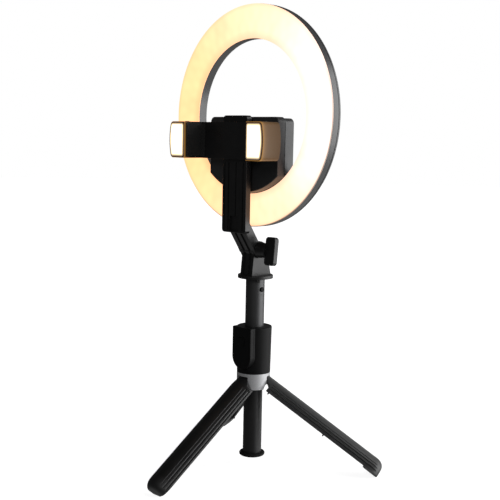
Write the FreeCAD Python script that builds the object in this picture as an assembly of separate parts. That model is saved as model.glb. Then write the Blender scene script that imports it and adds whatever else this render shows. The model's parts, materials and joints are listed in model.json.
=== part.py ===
import FreeCAD
import Part
import math
import os

# Table-top ring light on a folding tripod mast. Millimetres, +Z up, the light faces -Y.
# The origin is the floor point under the mast's axis.

V = FreeCAD.Vector
X_AXIS, Y_AXIS, Z_AXIS = V(1, 0, 0), V(0, 1, 0), V(0, 0, 1)
ORIGIN = V(0, 0, 0)

# ---------------------------------------------------------------- driving dimensions
# tripod
LEG_AZIMUTHS = {"front": 2.0, "right": 122.0, "left": 242.0}   # degrees from -Y towards +X
LEG_R = 17.0             # outer radius of the three legs folded round the column
LEG_INNER_R = 14.8
LEG_LENGTH = 140.3       # pivot to the end of the foot
LEG_SHELL_END = 128.3    # pivot to the end of the moulded shell
LEG_TOP = 1.2            # the leg's end above the pivot
LEG_PIVOT_R = 11.8
LEG_PIVOT_Z = 85.5
LEG_GAP = 0.35           # from each leg's side face to the plane between two folded legs
LEG_LUG_HALF = 3.2
LEG_LUG_R = 2.2
LEG_HEAD_TOP, LEG_HEAD_LOW = 4.8, 9.8    # half-widths of the leg where it nests in the hub's pocket
FOOT_FLAT_R = 3.0        # the foot's inner face, which rests on the floor, from the mast axis
LEG_GROOVES = ((28.0, 0.7), (38.5, 1.15), (49.5, 1.25))   # degrees from the crown, radius
PEG_DEPTHS = (10.5, 76.0, 124.0)   # below the pivot
PEG_X, PEG_Y0, PEG_Y1 = 13.0, -9.6, -6.3
PEG_R0, PEG_R1 = 1.2, 0.55
PEG_ROOM = 0.35
PIN_R = 1.0
HUB_R = 16.3
HUB_Z0, HUB_Z1 = 78.6, 93.9
HUB_DISC_Z = 91.0
HUB_CORE_R = 11.2
HUB_POCKET_TOP, HUB_POCKET_LOW = 6.5, 10.3
# mast
TUBE_R = 9.15
TUBE_WALL = 0.8
TUBE_STEP = 0.6          # radius lost from one section to the next
TUBE_TOP_Z = 186.0
COLUMN_Z0, COLUMN_Z1 = 12.8, 94.8
COLUMN_FOOT_R = 12.55
COLUMN_FOOT_Z = 9.84
LOCK_Z = 175.5           # the mast's lock button
LOCK_R = 2.3
LOCK_X0, LOCK_X1 = 9.0, 10.3
HANDLE_R0, HANDLE_R1 = 16.3, 17.0
HANDLE_Z0, HANDLE_Z1 = 93.9, 139.1
# remote
REMOTE_HALF = 12.5
REMOTE_Z0 = 98.0
REMOTE_FRONT_Y, REMOTE_SPLIT_Y, REMOTE_BACK_Y = -17.5, -13.2, -10.7
# tilt head
HINGE_Y, HINGE_Z = -5.5, 214.5
TONGUE_HALF, TONGUE_R = 8.1, 6.6
TONGUE_ROOM = 0.4
EAR_INNER, EAR_OUTER, EAR_R = 8.35, 11.0, 8.2
FLANGE_R = 17.0
FLANGE_Z0, FLANGE_Z1 = 186.2, 189.5
BOLT_R = 2.5
# two channels run down the front of the strut, the tongue and the waist
CHANNEL_XS, CHANNEL_HALF, CHANNEL_DEPTH = (-3.8, 3.8), 1.7, 1.2
# wing knob
KNOB_GAP, WING_X0, WING_X1 = 0.35, 19.8, 32.3
WING_HALF_Y, WING_DOWN, WING_UP = 2.8, 13.5, 13.3
WING_TURN = -5.5         # degrees about the hinge
STUD_X0, STUD_X1 = -14.8, 24.0
NUT_X0, NUT_R = -14.4, 4.8
# arm rail
RAIL_HALF = 16.0
RAIL_FRONT_Y, RAIL_BACK_Y = -30.6, -24.5
RAIL_Z0, RAIL_Z1 = 231.2, 340.0
RAIL_GROOVES = ((-13.6, -12.4), (-8.2, -6.6), (1.8, 3.0), (11.2, 12.4))
RAIL_GROOVE_DEPTH, RAIL_GROOVE_TOP_Z = 1.2, 297.0
RECESS_X, RECESS_TOP_Z, RECESS_DEPTH = (-5.4, 6.6), 247.0, 1.9
BUMPER_R, BUMPER_Z = 4.0, 274.0
ARM_SCREW_XS, ARM_SCREW_Z = (-7.0, 7.0), 236.5
# strut between the tilt hinge and the rail: its direction, and its two faces from the hinge axis
STRUT_DIRECTION = V(0, -0.561, 0.828)
STRUT_NORMAL = V(0, 0.828, 0.561)
STRUT_BACK, STRUT_FRONT = 2.8, 6.2
# phone clamp
CLAMP_Z = 316.8
CLAMP_HALF_Z = 17.0
PLATE_HALF_X = 43.0
PLATE_FRONT_Y, PLATE_BACK_Y = -34.4, -31.0
JAW_X0, JAW_X1 = 41.4, 63.2
JAW_BOW_R = 64.0         # radius of the jaw's bowed outer side
JAW_FRONT_Y, JAW_BACK_Y = -57.0, -34.8
RACK_MODULE = 0.6
PINION_TEETH = 12
CAVITY_Y0, CAVITY_Y1 = -33.5, -31.9      # the space between the plates
BAR_Y0, BAR_Y1 = -33.3, -32.1            # the racks and the pinion in it
TOOTH_ROOT, TOOTH_TIP = 0.52, 0.2        # half-widths of a tooth
PIVOT_R, CAP_R = 4.0, 6.0
JAW_WALL, JAW_CORNER = 1.3, 4.0
PAD_THICKNESS, PAD_HALF_Z, PAD_LIP_X = 1.4, 15.5, 36.8   # the pad's lip lies over the plate
JAW_MIDDLE_X, JAW_BUTTON_Y, JAW_BUTTON_R = 52.0, -44.0, 2.0
# ring
RING_Z = 339.3
RING_R, RING_INNER_R = 103.05, 71.6
RING_FRONT_Y, RING_BACK_Y = -12.1, -1.2
RING_WALL = 1.4
RING_FLOOR = 1.8
LED_COUNT = 48           # in each of the two rows
# control box inside the ring
BOX_HALF, BOX_SEAM_HALF, BOX_REAR_HALF = 45.2, 46.7, 47.0   # half-width in front, at the seam, behind
BOX_FRONT_R, BOX_SEAM_R = 70.2, 71.3                        # radius of the bottom edge in front, at the seam
BOX_TOP_Z, BOX_REAR_TOP_Z = 339.0, 338.0
BOX_FRONT_Y = -20.0
BOX_WALL = 1.8
RING_HINGE_Y, RING_HINGE_Z = -22.4, 331.0
KNUCKLE_R = 2.1
KNUCKLE_X0, KNUCKLE_X1 = 10.2, 15.0
BUTTON_XS = {"mode": -14.0, "power": 0.0, "dimmer": 14.0}
BUTTON_Z, BUTTON_R = 326.0, 3.2
SOCKET_X0, SOCKET_X1 = 0.5, 9.5
SOCKET_Y0, SOCKET_Y1, SOCKET_Z0 = -11.4, -8.2, 330.0
BOX_SCREWS = ((-38.0, 330.0), (38.0, 330.0), (-30.0, 290.0), (30.0, 290.0))   # x, z

os.makedirs("parts", exist_ok=True)
NODES = {}


# ---------------------------------------------------------------- helpers
def block(x0, x1, y0, y1, z0, z1):
    return Part.makeBox(x1 - x0, y1 - y0, z1 - z0, V(x0, y0, z0))


def rod(radius, start, end):
    axis = V(*end) - V(*start)
    return Part.makeCylinder(radius, axis.Length, V(*start), axis)


def cone(r0, r1, start, end):
    axis = V(*end) - V(*start)
    return Part.makeCone(r0, r1, axis.Length, V(*start), axis)


def ring_y(r0, r1, y0, y1):
    """A band round the ring light's own axis."""
    return rod(r1, (0, y0, RING_Z), (0, y1, RING_Z)).cut(rod(r0, (0, y0 - 1, RING_Z), (0, y1 + 1, RING_Z)))


def face_of(points):
    return Part.Face(Part.makePolygon([V(*p) for p in points] + [V(*points[0])]))


def prism_x(points, x0, x1):
    return face_of([(x0, y, z) for y, z in points]).extrude(V(x1 - x0, 0, 0))


def prism_y(points, y0, y1):
    return face_of([(x, y0, z) for x, z in points]).extrude(V(0, y1 - y0, 0))


def prism_z(points, z0, z1):
    return face_of([(x, y, z0) for x, y in points]).extrude(V(0, 0, z1 - z0))


def revolved(points):
    """Turn a closed outline of (radius, z) about the Z axis."""
    return face_of([(r, 0, z) for r, z in points]).revolve(ORIGIN, Z_AXIS, 360)


def turned(shape, centre, axis, degrees):
    copy = shape.copy()
    copy.rotate(V(*centre), axis, degrees)
    return copy


def mirrored_x(shape):
    return shape.mirror(ORIGIN, X_AXIS)


def fused(shapes):
    return shapes[0].multiFuse(shapes[1:]).removeSplitter()


def rounded(shape, radius, pick):
    """Fillet the edges whose centre and direction satisfy pick(edge)."""
    edges = [edge for edge in shape.Edges if pick(edge)]
    return shape.makeFillet(radius, edges)


def straight_along(edge, axis, tolerance=1e-6):
    if not isinstance(edge.Curve, (Part.Line, Part.LineSegment)):
        return False
    direction = edge.lastVertex().Point - edge.firstVertex().Point
    return abs(abs(direction.normalize().dot(axis)) - 1) < tolerance


def keep(name, shape):
    NODES[name] = shape


# ---------------------------------------------------------------- tripod legs
def leg_open_angle():
    """The angle from the column at which the foot's flat inner corner meets the floor."""
    inward = LEG_PIVOT_R - FOOT_FLAT_R
    reach = math.hypot(LEG_LENGTH, inward)
    return math.degrees(math.acos(LEG_PIVOT_Z / reach) + math.atan2(inward, LEG_LENGTH))


def leg_wedge(z0, z1):
    """The third of the folded bundle that belongs to the front leg."""
    apex = LEG_GAP / math.sin(math.radians(60))
    side = 3 * LEG_R
    return prism_z([(0, -apex), (side * math.sin(math.radians(60)), -apex - side * 0.5),
                    (-side * math.sin(math.radians(60)), -apex - side * 0.5)], z0, z1)


def leg_folded():
    """The front leg's moulded shell, folded down along the column."""
    z_end = LEG_PIVOT_Z - LEG_SHELL_END
    z_hub = HUB_Z0 - 0.3
    z_top = LEG_PIVOT_Z + LEG_TOP
    tube = revolved([(LEG_INNER_R, z_end), (LEG_R, z_end), (LEG_R, z_top), (LEG_INNER_R, z_top)])
    wide = leg_wedge(z_end, z_hub)
    head = prism_y([(-LEG_HEAD_LOW, z_hub - 1), (LEG_HEAD_LOW, z_hub - 1), (LEG_HEAD_LOW, z_hub),
                    (LEG_HEAD_TOP, z_top), (-LEG_HEAD_TOP, z_top), (-LEG_HEAD_LOW, z_hub)], -LEG_R - 1, -5)
    shell = fused([tube.common(wide), tube.common(head)])
    # room for the hub's ears, which hold the pin on each side of the lug
    room = fused([rod(3.25, (-12, -LEG_PIVOT_R, LEG_PIVOT_Z), (12, -LEG_PIVOT_R, LEG_PIVOT_Z)),
                  block(-12, 12, -LEG_PIVOT_R - 2.6, 0, LEG_PIVOT_Z - 3.3, z_top + 1)])
    shell = shell.cut(room)
    lug = fused([rod(LEG_LUG_R, (-LEG_LUG_HALF, -LEG_PIVOT_R, LEG_PIVOT_Z),
                     (LEG_LUG_HALF, -LEG_PIVOT_R, LEG_PIVOT_Z)),
                 block(-LEG_LUG_HALF, LEG_LUG_HALF, -LEG_PIVOT_R - 3.6, -LEG_PIVOT_R,
                       LEG_PIVOT_Z - LEG_LUG_R, LEG_PIVOT_Z + LEG_LUG_R),
                 block(-LEG_LUG_HALF, LEG_LUG_HALF, -LEG_PIVOT_R - 3.6, -LEG_PIVOT_R + 0.1,
                       LEG_PIVOT_Z - 14, LEG_PIVOT_Z)])
    shell = fused([shell, lug])
    shell = shell.cut(rod(PIN_R + 0.06, (-9, -LEG_PIVOT_R, LEG_PIVOT_Z), (9, -LEG_PIVOT_R, LEG_PIVOT_Z)))
    shell = shell.cut(leg_grooves())
    # pegs inside one side edge enter holes in the next leg's edge when the legs are folded
    pegs = [cone(PEG_R0, PEG_R1, (-PEG_X, PEG_Y0, LEG_PIVOT_Z - s), (-PEG_X, PEG_Y1, LEG_PIVOT_Z - s))
            for s in PEG_DEPTHS]
    holes = [cone(PEG_R0 + PEG_ROOM, PEG_R1 + PEG_ROOM, (-PEG_X, PEG_Y0, LEG_PIVOT_Z - s),
                  (-PEG_X, PEG_Y1 + PEG_ROOM, LEG_PIVOT_Z - s)) for s in PEG_DEPTHS]
    shell = shell.cut(turned(Part.makeCompound(holes), (0, 0, 0), Z_AXIS, 120))
    return fused([shell] + pegs)


def leg_grooves():
    """Round-bottomed grooves along each side of the smooth crown, out through the foot."""
    z0, z1 = LEG_PIVOT_Z - LEG_LENGTH - 1, HUB_Z0 - 2.5
    grooves = []
    for side in (-1, 1):
        for angle, radius in LEG_GROOVES:
            a = math.radians(side * angle)
            x, y = (LEG_R + 0.1) * math.sin(a), -(LEG_R + 0.1) * math.cos(a)
            grooves.append(rod(radius, (x, y, z0), (x, y, z1)))
    return Part.makeCompound(grooves)


def foot_folded():
    """The soft nose that closes the end of the front leg and stands on the floor."""
    z_end = LEG_PIVOT_Z - LEG_LENGTH
    z_seam = LEG_PIVOT_Z - LEG_SHELL_END
    nose = [(0, z_end), (10.5, z_end)]
    for step in range(1, 7):
        a = math.radians(15 * step)
        nose.append((10.5 + 6.5 * math.sin(a), z_end + 9.0 * (1 - math.cos(a))))
    nose += [(LEG_R, z_seam), (LEG_INNER_R - 0.1, z_seam), (LEG_INNER_R - 0.1, z_seam + 2.5), (0, z_seam + 2.5)]
    solid = revolved(nose).common(leg_wedge(z_end - 1, z_seam + 5))
    return solid.cut(block(-20, 20, -FOOT_FLAT_R, 5, z_end - 1, z_seam + 5)).cut(leg_grooves())


def place_leg(shape, azimuth):
    opened = turned(shape, (0, -LEG_PIVOT_R, LEG_PIVOT_Z), X_AXIS, -leg_open_angle())
    return turned(opened, (0, 0, 0), Z_AXIS, azimuth)


def make_legs():
    leg = leg_folded()
    foot = foot_folded()
    for name, azimuth in LEG_AZIMUTHS.items():
        keep("leg_" + name, place_leg(leg, azimuth))
        keep("leg_foot_" + name, place_leg(foot, azimuth))


def make_hub():
    hub = rod(HUB_R, (0, 0, HUB_Z0), (0, 0, HUB_Z1))
    pins = []
    for azimuth in LEG_AZIMUTHS.values():
        pocket = prism_y([(-HUB_POCKET_LOW, HUB_Z0 - 1), (HUB_POCKET_LOW, HUB_Z0 - 1), (HUB_POCKET_LOW, HUB_Z0),
                          (HUB_POCKET_TOP, HUB_DISC_Z - 3), (HUB_POCKET_TOP, HUB_DISC_Z),
                          (-HUB_POCKET_TOP, HUB_DISC_Z), (-HUB_POCKET_TOP, HUB_DISC_Z - 3),
                          (-HUB_POCKET_LOW, HUB_Z0)], -HUB_R - 1, -10.9)
        hub = hub.cut(turned(pocket, (0, 0, 0), Z_AXIS, azimuth))
    core = rod(HUB_CORE_R, (0, 0, HUB_Z0), (0, 0, HUB_Z1))
    hub = fused([hub, core])
    for azimuth in LEG_AZIMUTHS.values():
        ears = []
        for x0, x1 in ((-5.6, -3.5), (3.5, 5.6)):
            ears.append(rod(2.9, (x0, -LEG_PIVOT_R, LEG_PIVOT_Z), (x1, -LEG_PIVOT_R, LEG_PIVOT_Z)))
            ears.append(block(x0, x1, -LEG_PIVOT_R, -9.6, LEG_PIVOT_Z - 2.9, LEG_PIVOT_Z + 2.9))
        hub = fused([hub] + [turned(ear, (0, 0, 0), Z_AXIS, azimuth) for ear in ears])
        slot = block(-3.5, 3.5, -HUB_R - 1, -9.45, HUB_Z0 - 1, LEG_PIVOT_Z + 3.2)
        hole = rod(PIN_R + 0.02, (-5.7, -LEG_PIVOT_R, LEG_PIVOT_Z), (5.7, -LEG_PIVOT_R, LEG_PIVOT_Z))
        hub = hub.cut(turned(fused([slot, hole]), (0, 0, 0), Z_AXIS, azimuth))
        pin = rod(PIN_R, (-5.6, -LEG_PIVOT_R, LEG_PIVOT_Z), (5.6, -LEG_PIVOT_R, LEG_PIVOT_Z))
        pins.append(turned(pin, (0, 0, 0), Z_AXIS, azimuth))
    hub = hub.cut(rod(TUBE_R + 0.05, (0, 0, HUB_Z0 - 1), (0, 0, HUB_Z1 + 1)))
    keep("leg_hub", hub)
    keep("leg_pins", Part.makeCompound(pins))


# ---------------------------------------------------------------- mast and handle
def tube(outer, wall, z0, z1):
    return rod(outer, (0, 0, z0), (0, 0, z1)).cut(rod(outer - wall, (0, 0, z0 - 1), (0, 0, z1 + 1)))


def make_mast():
    bore = TUBE_R - TUBE_WALL
    keep("centre_column", tube(TUBE_R, TUBE_WALL, COLUMN_Z0, COLUMN_Z1))
    keep("column_foot", revolved([
        (0, COLUMN_FOOT_Z), (COLUMN_FOOT_R - 0.8, COLUMN_FOOT_Z), (COLUMN_FOOT_R, COLUMN_FOOT_Z + 0.8),
        (COLUMN_FOOT_R, COLUMN_FOOT_Z + 2.2), (COLUMN_FOOT_R - 0.6, COLUMN_FOOT_Z + 2.96),
        (bore - 0.1, COLUMN_FOOT_Z + 2.96), (bore - 0.1, COLUMN_FOOT_Z + 8), (0, COLUMN_FOOT_Z + 8)]))
    button_hole = rod(LOCK_R + 0.1, (bore - 1, 0, LOCK_Z), (TUBE_R + 1, 0, LOCK_Z))
    keep("mast_tube", tube(TUBE_R, TUBE_WALL, COLUMN_Z1 + 0.2, TUBE_TOP_Z).cut(button_hole))
    for number in (2, 3, 4, 5):
        outer = bore - 0.1 - TUBE_STEP * (number - 2)
        z0 = 18.0 + number * 0.5
        top = TUBE_TOP_Z if number < 5 else 196.0
        section = tube(outer, TUBE_STEP - 0.1, z0, top)
        if number == 2:
            section = section.cut(rod(LOCK_R + 0.3, (bore - 2, 0, LOCK_Z), (bore, 0, LOCK_Z)))
        keep("mast_section_%d" % number, section)
    button = rod(LOCK_R, (LOCK_X0, 0, LOCK_Z), (LOCK_X1, 0, LOCK_Z))
    keep("mast_button", rounded(button, 0.5, lambda edge: edge.CenterOfMass.x > LOCK_X1 - 0.1
                                and edge.Length > 5))


def remote_outline(half, z0, z1, y0, y1):
    """A tray shape: flat top, straight sides and a half-round bottom."""
    straight = block(-half, half, y0, y1, z0 + half, z1)
    return fused([straight, rod(half, (0, y0, z0 + half), (0, y1, z0 + half))])


def make_handle():
    shell = cone(HANDLE_R0, HANDLE_R1, (0, 0, HANDLE_Z0), (0, 0, HANDLE_Z1))
    shell = rounded(shell, 0.8, lambda edge: edge.CenterOfMass.z > HANDLE_Z1 - 0.1 and edge.Length > 50)
    hollow = tube(14.8, 3.8, HANDLE_Z0 + 3, HANDLE_Z1 - 3).cut(block(-20, 20, -20, -5.5, 90, 145))
    shell = shell.cut(hollow)
    pocket = remote_outline(REMOTE_HALF + 0.25, REMOTE_Z0 - 0.25, HANDLE_Z1 + 1, -20, REMOTE_BACK_Y + 0.3)
    shell = shell.cut(pocket)
    bore = rod(TUBE_R + 0.05, (0, 0, HANDLE_Z0 - 1), (0, 0, HANDLE_Z1 + 1))
    keep("handle_shell", shell.cut(bore))


def make_remote():
    wall = 1.2
    z1 = HANDLE_Z1
    front = remote_outline(REMOTE_HALF, REMOTE_Z0, z1, REMOTE_FRONT_Y, REMOTE_SPLIT_Y)
    front = rounded(front, 0.7, lambda edge: edge.CenterOfMass.y < REMOTE_FRONT_Y + 0.01)
    front = front.cut(remote_outline(REMOTE_HALF - wall, REMOTE_Z0 + wall, z1 - wall,
                                     REMOTE_FRONT_Y + wall, REMOTE_SPLIT_Y + 1))
    button_z = z1 - 14.0
    front = front.cut(rod(4.8, (0, REMOTE_FRONT_Y - 1, button_z), (0, REMOTE_SPLIT_Y, button_z)))
    keep("remote_front", front)
    back = remote_outline(REMOTE_HALF, REMOTE_Z0, z1, REMOTE_SPLIT_Y, REMOTE_BACK_Y)
    back = back.cut(remote_outline(REMOTE_HALF - wall, REMOTE_Z0 + wall, z1 - wall,
                                   REMOTE_SPLIT_Y - 1, REMOTE_BACK_Y - 0.9))
    keep("remote_back", back)
    button = rod(4.5, (0, REMOTE_FRONT_Y - 0.4, button_z), (0, REMOTE_FRONT_Y + 1.7, button_z))
    keep("remote_button", rounded(button, 0.3, lambda edge: edge.CenterOfMass.y < REMOTE_FRONT_Y - 0.3
                                  and edge.Length > 20))
    board_y = REMOTE_FRONT_Y + 3.0
    keep("remote_board", remote_outline(REMOTE_HALF - 1.6, REMOTE_Z0 + 1.6, z1 - 1.6, board_y, board_y + 0.8))
    cell_z = REMOTE_Z0 + REMOTE_HALF
    keep("remote_cell", rod(8.0, (0, board_y + 0.8, cell_z), (0, REMOTE_BACK_Y - 1.0, cell_z)))


# ---------------------------------------------------------------- tilt head
def make_head():
    flange = rod(FLANGE_R, (0, 0, FLANGE_Z0), (0, 0, FLANGE_Z1))
    flange = rounded(flange, 0.9, lambda edge: edge.Length > 50 and edge.CenterOfMass.z > FLANGE_Z1 - 0.1)
    tongue = rod(TONGUE_R, (-TONGUE_HALF, HINGE_Y, HINGE_Z), (TONGUE_HALF, HINGE_Y, HINGE_Z))
    front_foot, front_top = (-12.7, FLANGE_Z1 - 0.5), (-10.6, 209.9)
    waist = prism_x([front_foot, (12.8, FLANGE_Z1 - 0.5), (9.6, 201.3), (1.2, 212.9),
                     (HINGE_Y, HINGE_Z), front_top], -TONGUE_HALF, TONGUE_HALF)
    low, high = FLANGE_Z1 + 0.6, front_top[1] + 1.0
    channel = [(front_foot[0] - 1, low), (front_foot[0] + CHANNEL_DEPTH, low),
               (front_top[0] + CHANNEL_DEPTH, high), (front_top[0] - 2, high)]
    for x in CHANNEL_XS:
        x0, x1 = x - CHANNEL_HALF, x + CHANNEL_HALF
        waist = waist.cut(prism_x(channel, x0, x1))
        groove = rod(TONGUE_R + 1, (x0, HINGE_Y, HINGE_Z), (x1, HINGE_Y, HINGE_Z))
        tongue = tongue.cut(groove.cut(rod(TONGUE_R - 0.8, (x0, HINGE_Y, HINGE_Z), (x1, HINGE_Y, HINGE_Z))))
    base = fused([flange, waist, tongue])
    key = turned(block(-1.5, 1.5, -10.7, -9.5, FLANGE_Z0 - 3.6, FLANGE_Z0 + 0.5), (0, 0, 0), Z_AXIS, 60)
    base = fused([base, key])
    base = base.cut(rod(TUBE_R - TUBE_WALL - 0.1 - 3 * TUBE_STEP + 0.03, (0, 0, FLANGE_Z0 - 1), (0, 0, 196.1)))
    keep("head_base", base.cut(rod(BOLT_R + 0.06, (-9, HINGE_Y, HINGE_Z), (9, HINGE_Y, HINGE_Z))))


def make_knob():
    hub_x0 = EAR_OUTER + KNOB_GAP
    hub = cone(7.8, 6.4, (hub_x0, HINGE_Y, HINGE_Z), (WING_X0 + 1.5, HINGE_Y, HINGE_Z))
    wing = block(WING_X0, WING_X1, HINGE_Y - WING_HALF_Y, HINGE_Y + WING_HALF_Y,
                 HINGE_Z - WING_DOWN, HINGE_Z + WING_UP)
    wing = rounded(wing, 3.2, lambda edge: straight_along(edge, Y_AXIS))
    wing = rounded(wing, 0.8, lambda edge: abs(abs(edge.CenterOfMass.y - HINGE_Y) - WING_HALF_Y) < 0.01)
    knob = turned(fused([hub, wing]), (0, HINGE_Y, HINGE_Z), X_AXIS, WING_TURN)
    knob = knob.cut(rod(BOLT_R, (hub_x0 - 1, HINGE_Y, HINGE_Z), (STUD_X1, HINGE_Y, HINGE_Z)))
    keep("tilt_knob", knob)
    keep("tilt_stud", rod(BOLT_R, (STUD_X0, HINGE_Y, HINGE_Z), (STUD_X1, HINGE_Y, HINGE_Z)))
    corners = [math.radians(60 * k) for k in range(6)]
    hexagon = [(HINGE_Y + NUT_R * math.cos(a), HINGE_Z + NUT_R * math.sin(a)) for a in corners]
    nut = prism_x(hexagon, NUT_X0, -EAR_OUTER)
    bore = rod(BOLT_R + 0.06, (NUT_X0 - 1, HINGE_Y, HINGE_Z), (-EAR_OUTER + 1, HINGE_Y, HINGE_Z))
    keep("tilt_nut", nut.cut(bore))


def make_arm():
    link = make_link()
    rail = make_rail()
    screws = []
    for x in ARM_SCREW_XS:
        hole = rod(1.5, (x, RAIL_FRONT_Y + 2.2, ARM_SCREW_Z), (x, RAIL_BACK_Y + 8, ARM_SCREW_Z))
        head_room = rod(2.6, (x, RAIL_BACK_Y + 3.0, ARM_SCREW_Z), (x, RAIL_BACK_Y + 12, ARM_SCREW_Z))
        rail = rail.cut(hole)
        link = link.cut(hole).cut(head_room)
        shank = rod(1.48, (x, RAIL_FRONT_Y + 2.4, ARM_SCREW_Z), (x, RAIL_BACK_Y + 3.2, ARM_SCREW_Z))
        head = rod(2.5, (x, RAIL_BACK_Y + 3.02, ARM_SCREW_Z), (x, RAIL_BACK_Y + 4.6, ARM_SCREW_Z))
        screws.append(fused([shank, head]))
    keep("arm_link", link)
    keep("arm_rail", rail)
    keep("arm_screws", Part.makeCompound(screws))
    keep("ring_hinge_pin", rod(PIN_R, (-KNUCKLE_X1, RING_HINGE_Y, RING_HINGE_Z),
                               (KNUCKLE_X1, RING_HINGE_Y, RING_HINGE_Z)))


def make_link():
    """The forked strut from the tilt hinge to the back of the rail."""
    hinge = V(0, HINGE_Y, HINGE_Z)
    back = hinge + STRUT_NORMAL * STRUT_BACK
    front = hinge - STRUT_NORMAL * STRUT_FRONT
    top_back = back + STRUT_DIRECTION * ((RAIL_BACK_Y - back.y) / STRUT_DIRECTION.y)
    top_front = front + STRUT_DIRECTION * ((RAIL_BACK_Y - front.y) / STRUT_DIRECTION.y)
    strut = prism_x([(p.y, p.z) for p in (front, top_front, top_back, back)], -EAR_OUTER, EAR_OUTER)
    ears = [rod(EAR_R, (x0, HINGE_Y, HINGE_Z), (x1, HINGE_Y, HINGE_Z))
            for x0, x1 in ((-EAR_OUTER, -EAR_INNER), (EAR_INNER, EAR_OUTER))]
    link = fused([strut] + ears)
    # the ears are flush with the strut's front face
    reach = STRUT_DIRECTION * 2 * EAR_R
    proud = [front - reach, front + reach, front + reach - STRUT_NORMAL * EAR_R, front - reach - STRUT_NORMAL * EAR_R]
    link = link.cut(prism_x([(p.y, p.z) for p in proud], -EAR_OUTER - 1, EAR_OUTER + 1))
    link = link.cut(rod(TONGUE_R + TONGUE_ROOM, (-EAR_INNER, HINGE_Y, HINGE_Z), (EAR_INNER, HINGE_Y, HINGE_Z)))
    link = link.cut(rod(BOLT_R + 0.06, (-EAR_OUTER - 1, HINGE_Y, HINGE_Z), (EAR_OUTER + 1, HINGE_Y, HINGE_Z)))
    inset = STRUT_NORMAL * CHANNEL_DEPTH
    corners = [front, top_front, top_front + inset, front + inset]
    for x in CHANNEL_XS:
        link = link.cut(prism_x([(p.y, p.z) for p in corners], x - CHANNEL_HALF, x + CHANNEL_HALF))
    return link


def make_rail():
    """The upright rail, with ribs in front, a hollow back, a bumper and the ring's hinge knuckles."""
    rail = block(-RAIL_HALF, RAIL_HALF, RAIL_FRONT_Y, RAIL_BACK_Y, RAIL_Z0, RAIL_Z1)
    rail = rounded(rail, 3.0, lambda edge: straight_along(edge, Y_AXIS))
    rail = rounded(rail, 0.6, lambda edge: edge.CenterOfMass.y < RAIL_FRONT_Y + 0.01)
    for x0, x1 in RAIL_GROOVES:
        rail = rail.cut(block(x0, x1, RAIL_FRONT_Y - 1, RAIL_FRONT_Y + RAIL_GROOVE_DEPTH,
                              RAIL_Z0 + 2.5, RAIL_GROOVE_TOP_Z))
    rail = rail.cut(block(RECESS_X[0], RECESS_X[1], RAIL_FRONT_Y - 1, RAIL_FRONT_Y + RECESS_DEPTH,
                          RAIL_Z0 + 1.6, RECESS_TOP_Z))
    rail = rail.cut(block(-13.5, 13.5, RAIL_FRONT_Y + 3.0, RAIL_BACK_Y + 1, 250.0, 298.0))
    bumper = rod(BUMPER_R, (0, RAIL_FRONT_Y + 2.0, BUMPER_Z), (0, BOX_FRONT_Y - 0.05, BUMPER_Z))
    knuckles = []
    for x0, x1 in ((-KNUCKLE_X1, -KNUCKLE_X0), (KNUCKLE_X0, KNUCKLE_X1)):
        knuckles.append(rod(KNUCKLE_R, (x0, RING_HINGE_Y, RING_HINGE_Z), (x1, RING_HINGE_Y, RING_HINGE_Z)))
        knuckles.append(block(x0, x1, RAIL_BACK_Y - 0.5, RING_HINGE_Y,
                              RING_HINGE_Z - KNUCKLE_R, RING_HINGE_Z + KNUCKLE_R))
    rail = fused([rail, bumper] + knuckles)
    rail = rail.cut(rod(PIN_R + 0.02, (-RAIL_HALF, RING_HINGE_Y, RING_HINGE_Z),
                        (RAIL_HALF, RING_HINGE_Y, RING_HINGE_Z)))
    return rail.cut(rod(PIVOT_R + 0.05, (0, RAIL_FRONT_Y - 1, CLAMP_Z), (0, RAIL_BACK_Y + 1, CLAMP_Z)))


# ---------------------------------------------------------------- phone clamp
def rack_bar():
    """The left jaw's toothed bar, above the pinion, with its teeth pointing down."""
    pitch = math.pi * RACK_MODULE
    pitch_z = CLAMP_Z + RACK_MODULE * PINION_TEETH / 2
    root_z = pitch_z + 0.65
    bar = block(-54.0, 20.0, BAR_Y0, BAR_Y1, root_z, root_z + 5.0)
    teeth = []
    for k in range(-9, 12):
        x = (k + 0.5) * pitch
        if x > 19.0:
            continue
        tip_z = pitch_z - 0.45
        teeth.append(prism_y([(x - TOOTH_ROOT, root_z + 0.1), (x + TOOTH_ROOT, root_z + 0.1),
                              (x + TOOTH_TIP, tip_z), (x - TOOTH_TIP, tip_z)], BAR_Y0, BAR_Y1))
    return fused([bar] + teeth)


def make_pinion():
    pitch_r = RACK_MODULE * PINION_TEETH / 2
    gear = rod(pitch_r - 0.7, (0, BAR_Y0, CLAMP_Z), (0, BAR_Y1, CLAMP_Z))
    root_z, tip_z = CLAMP_Z + pitch_r - 0.9, CLAMP_Z + pitch_r + 0.42
    teeth = []
    for k in range(PINION_TEETH):
        tooth = prism_y([(-TOOTH_ROOT, root_z), (TOOTH_ROOT, root_z), (TOOTH_TIP, tip_z), (-TOOTH_TIP, tip_z)],
                        BAR_Y0, BAR_Y1)
        teeth.append(turned(tooth, (0, 0, CLAMP_Z), Y_AXIS, 360.0 * k / PINION_TEETH))
    gear = fused([gear] + teeth)
    return gear.cut(rod(PIN_R + 0.05, (0, BAR_Y0 - 1, CLAMP_Z), (0, BAR_Y1 + 1, CLAMP_Z)))


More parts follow.
